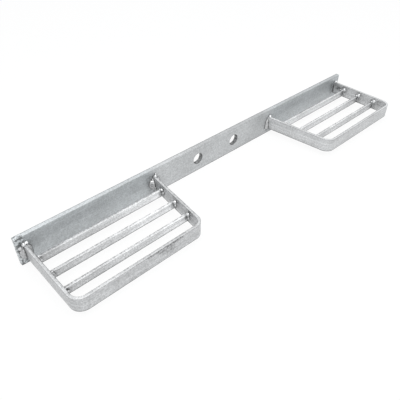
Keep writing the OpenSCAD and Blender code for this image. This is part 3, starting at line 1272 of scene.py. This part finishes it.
class TWINSTEP_OT_bar_welds(bpy.types.Operator):
    """Lay the weld beads at both ends of every tread bar"""

    bl_idname = "twinstep.bar_welds"
    bl_label = "Bar Welds"
    bl_options = {"REGISTER", "UNDO"}

    # Balls of weld metal on a bead: forward of the bar, out of the arm, height and radius,
    # for the beads seen from behind, on the left step's inner arm and on the right outer arm
    DROPS = {
        "behind": ((0, 4.5, -3.5, 4.4), (2, 5, -8, 4), (4, 1, 1.5, 2.4)),
        "left": ((6.5, 1, 3, 3.2), (8, 0.6, -2.5, 2.7), (2, 2, 1.2, 2.2)),
        "right": ((5.5, 1.2, 4.8, 3.6), (1, 2, 1.5, 2.2), (-3.5, 0.5, 1, 1.8)),
    }

    def execute(self, context):
        sizes = context.scene.twin_step_sizes
        bead_colour = context.scene.twin_step_colours.bead
        finish = weld_metal("bar_bead_zinc", bead_colour, -8 * MM, 7 * MM)
        lumps = clouds("bar_bead_lumps", 2.6 * MM, depth=1)
        bar_t = BAR_HIGH.y - BAR_LOW.y
        model = lay_bead(
            "bar_bead", (sizes.bar_on_arm, sizes.bar_on_bar), bar_t,
            BAR_LOW.z + sizes.weld_stop, BAR_HIGH.z, sizes.ripple, (0.6, 0.72, 0.7),
        )
        chance = random.Random(11)
        for side in SIDES:
            for place in PLACES:
                for arm in ARMS:
                    bead = copy_of(model, f"{side}_{place}_{arm}_bar_bead")
                    if (side, arm) in (("left", "outer"), ("right", "inner")):
                        sort = "behind"
                    else:
                        sort = side
                    self.add_drops(bead, arm, self.DROPS[sort], chance)
                    melt(bead, 0.5 * MM)
                    self.finish_bead(sizes, bead, (side, place, arm), lumps)
                    fit(bead, f"{side}_{place}_bar_{arm}_weld", finish)
        bpy.data.objects.remove(model)
        return {"FINISHED"}

    def add_drops(self, bead, arm, drops, chance):
        """Balls of weld metal, never quite in the same place."""
        ahead = -1 if arm == "outer" else 1
        for forward, out, up, radius in drops:
            place = Vector((ahead * forward, -out, up)) + Vector(
                (chance.uniform(-0.7, 0.7), chance.uniform(-0.3, 0.3), chance.uniform(-0.7, 0.7))
            )
            drop(bead, place * MM, radius * chance.uniform(0.8, 1.15) * MM)

    def finish_bead(self, sizes, bead, spot, lumps):
        """Set a melted bead in place, make it lumpy and cut it to its arm and its bar."""
        side, place, arm = spot
        flip = MIRROR if side == "right" else Matrix()
        wall = flip @ bar_spot(sizes, place, arm)
        settle(bead, wall)
        lumpy(bead, lumps, 1.1 * MM, 0.45 * MM)
        low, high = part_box(f"{side}_{place}_tread_bar")
        room_low = low + Vector((-9, 0.3, -9)) * MM
        room_high = high + Vector((9, -0.3, -0.3)) * MM
        strip_gap(bead, Matrix(), room_low, room_high)
        outward = wall.to_3x3() @ Vector((0, 1, 0))
        trim(bead, wall @ Vector((0, 0.35 * MM, 0)), outward)
        close_up(bead)
        back = wall.inverted()

        def from_arm(point):
            return max(0, -(back @ point).y)

        def from_bar(point):
            if point.z > high.z:
                return STRIP_T
            return max(point.y - high.y, low.y - point.y, 0)

        note_creases(bead, from_arm, from_bar)
        smooth(bead, degrees=60)


# The camera: place in the row frame, and where it looks
CAMERA_PLACE = (-0.48812, -0.48497, 0.45583)
CAMERA_YAW = 43.25
CAMERA_PITCH = -40.25
CAMERA_ROLL = 0.52
CAMERA_LENS = 40.60


def aim(place, yaw, pitch, roll):
    """Matrix of a camera that looks at a yaw from +Y towards +X and a pitch above level."""
    yaw, pitch, roll = (math.radians(angle) for angle in (yaw, pitch, roll))
    ahead = Vector(
        (math.sin(yaw) * math.cos(pitch), math.cos(yaw) * math.cos(pitch), math.sin(pitch))
    )
    right = ahead.cross(Vector((0, 0, 1))).normalized()
    up = right.cross(ahead)
    across = right * math.cos(roll) + up * math.sin(roll)
    upright = up * math.cos(roll) - right * math.sin(roll)
    turn = Matrix((across, upright, -ahead)).transposed()
    return Matrix.Translation(place) @ turn.to_4x4()


def seen_directly(tree):
    """1 where the camera, a reflection or a transmission looks, and 0 for other light."""
    path = add_node(tree, "ShaderNodeLightPath")
    seen = calculate(
        tree, "MAXIMUM", path.outputs["Is Camera Ray"], path.outputs["Is Glossy Ray"]
    )
    return calculate(tree, "MAXIMUM", seen, path.outputs["Is Transmission Ray"])


class TWINSTEP_OT_stage(bpy.types.Operator):
    """Set up the plain floor, the soft light and the camera"""

    bl_idname = "twinstep.stage"
    bl_label = "Stage"
    bl_options = {"REGISTER", "UNDO"}

    def execute(self, context):
        settings = context.scene.twin_step_stage
        self.floor(settings)
        self.world(context, settings)
        self.lamp("key_light", (-0.3, -0.5, 1.6), 1.6, settings.key_power)
        self.camera(context)
        context.scene.view_settings.view_transform = "Standard"
        return {"FINISHED"}

    def floor(self, settings):
        """A white floor under the plate that keeps a faint shadow."""
        bpy.ops.mesh.primitive_plane_add(size=8, location=(0, 0, CAD_LOW.z))
        floor = bpy.context.object
        floor.name = "studio_floor"
        material = bpy.data.materials.new("studio_floor_white")
        material.use_nodes = True
        tree = material.node_tree
        tree.nodes.clear()
        matt = add_node(tree, "ShaderNodeBsdfDiffuse")
        matt.inputs["Color"].default_value = (0.95, 0.95, 0.95, 1)
        white = add_node(tree, "ShaderNodeEmission")
        white.inputs["Strength"].default_value = 1
        mix = add_node(tree, "ShaderNodeMixShader")
        share = calculate(tree, "MULTIPLY", seen_directly(tree), 1 - settings.shadow_share)
        tree.links.new(share, mix.inputs["Fac"])
        tree.links.new(matt.outputs["BSDF"], mix.inputs[1])
        tree.links.new(white.outputs["Emission"], mix.inputs[2])
        output = add_node(tree, "ShaderNodeOutputMaterial")
        tree.links.new(mix.outputs["Shader"], output.inputs["Surface"])
        floor.data.materials.append(material)

    def world(self, context, settings):
        """White behind the object, and an even pale light on it."""
        world = bpy.data.worlds.new("studio_world")
        world.use_nodes = True
        tree = world.node_tree
        tree.nodes.clear()
        room = add_node(tree, "ShaderNodeBackground")
        room.inputs["Color"].default_value = (0.97, 0.985, 1, 1)
        room.inputs["Strength"].default_value = settings.fill_level
        white = add_node(tree, "ShaderNodeBackground")
        white.inputs["Color"].default_value = (1, 1, 1, 1)
        white.inputs["Strength"].default_value = 1
        mix = add_node(tree, "ShaderNodeMixShader")
        tree.links.new(seen_directly(tree), mix.inputs["Fac"])
        tree.links.new(room.outputs["Background"], mix.inputs[1])
        tree.links.new(white.outputs["Background"], mix.inputs[2])
        output = add_node(tree, "ShaderNodeOutputWorld")
        tree.links.new(mix.outputs["Shader"], output.inputs["Surface"])
        context.scene.world = world

    def lamp(self, name, place, size, power):
        """One large soft lamp that looks at the middle of the plate."""
        bpy.ops.object.light_add(type="AREA", location=place)
        lamp = bpy.context.object
        lamp.name = name
        lamp.data.shape = "DISK"
        lamp.data.size = size
        lamp.data.energy = power
        lamp.rotation_euler = (-Vector(place)).to_track_quat("-Z", "Y").to_euler()
        lamp.visible_camera = False

    def camera(self, context):
        """The camera at the photograph's angle."""
        bpy.ops.object.camera_add()
        camera = bpy.context.object
        camera.name = "studio_camera"
        camera.data.lens = CAMERA_LENS
        camera.data.sensor_width = 36
        camera.matrix_world = aim(CAMERA_PLACE, CAMERA_YAW, CAMERA_PITCH, CAMERA_ROLL)
        context.scene.camera = camera


class TWINSTEP_PT_sidebar(bpy.types.Panel):
    """The twin step's pieces and settings in the 3D view's sidebar"""

    bl_idname = "TWINSTEP_PT_sidebar"
    bl_label = "Twin Rear Step"
    bl_space_type = "VIEW_3D"
    bl_region_type = "UI"
    bl_category = "Twin Step"

    def draw(self, context):
        layout = self.layout
        for operator in OPERATORS:
            layout.operator(operator.bl_idname)
        for group in (
            context.scene.twin_step_sizes,
            context.scene.twin_step_colours,
            context.scene.twin_step_stage,
        ):
            box = layout.box()
            for key in group.__annotations__:
                box.prop(group, key)


GROUPS = {
    "twin_step_sizes": StepSizes,
    "twin_step_colours": ZincColours,
    "twin_step_stage": StageSettings,
}
OPERATORS = (
    TWINSTEP_OT_mounting_plate,
    TWINSTEP_OT_step_frames,
    TWINSTEP_OT_tread_bars,
    TWINSTEP_OT_arm_welds,
    TWINSTEP_OT_bar_welds,
    TWINSTEP_OT_stage,
)


def register():
    """Register the settings, the operators and the panel."""
    for name, group in GROUPS.items():
        bpy.utils.register_class(group)
        setattr(bpy.types.Scene, name, PointerProperty(type=group))
    for cls in (*OPERATORS, TWINSTEP_PT_sidebar):
        bpy.utils.register_class(cls)


def unregister():
    """Remove the panel, the operators and the settings."""
    for cls in (TWINSTEP_PT_sidebar, *reversed(OPERATORS)):
        bpy.utils.unregister_class(cls)
    for name, group in reversed(GROUPS.items()):
        delattr(bpy.types.Scene, name)
        bpy.utils.unregister_class(group)


def main():
    """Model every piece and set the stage."""
    register()
    bpy.ops.twinstep.mounting_plate()
    bpy.ops.twinstep.step_frames()
    bpy.ops.twinstep.tread_bars()
    bpy.ops.twinstep.arm_welds()
    bpy.ops.twinstep.bar_welds()
    bpy.ops.twinstep.stage()


if __name__ == "__main__":
    main()
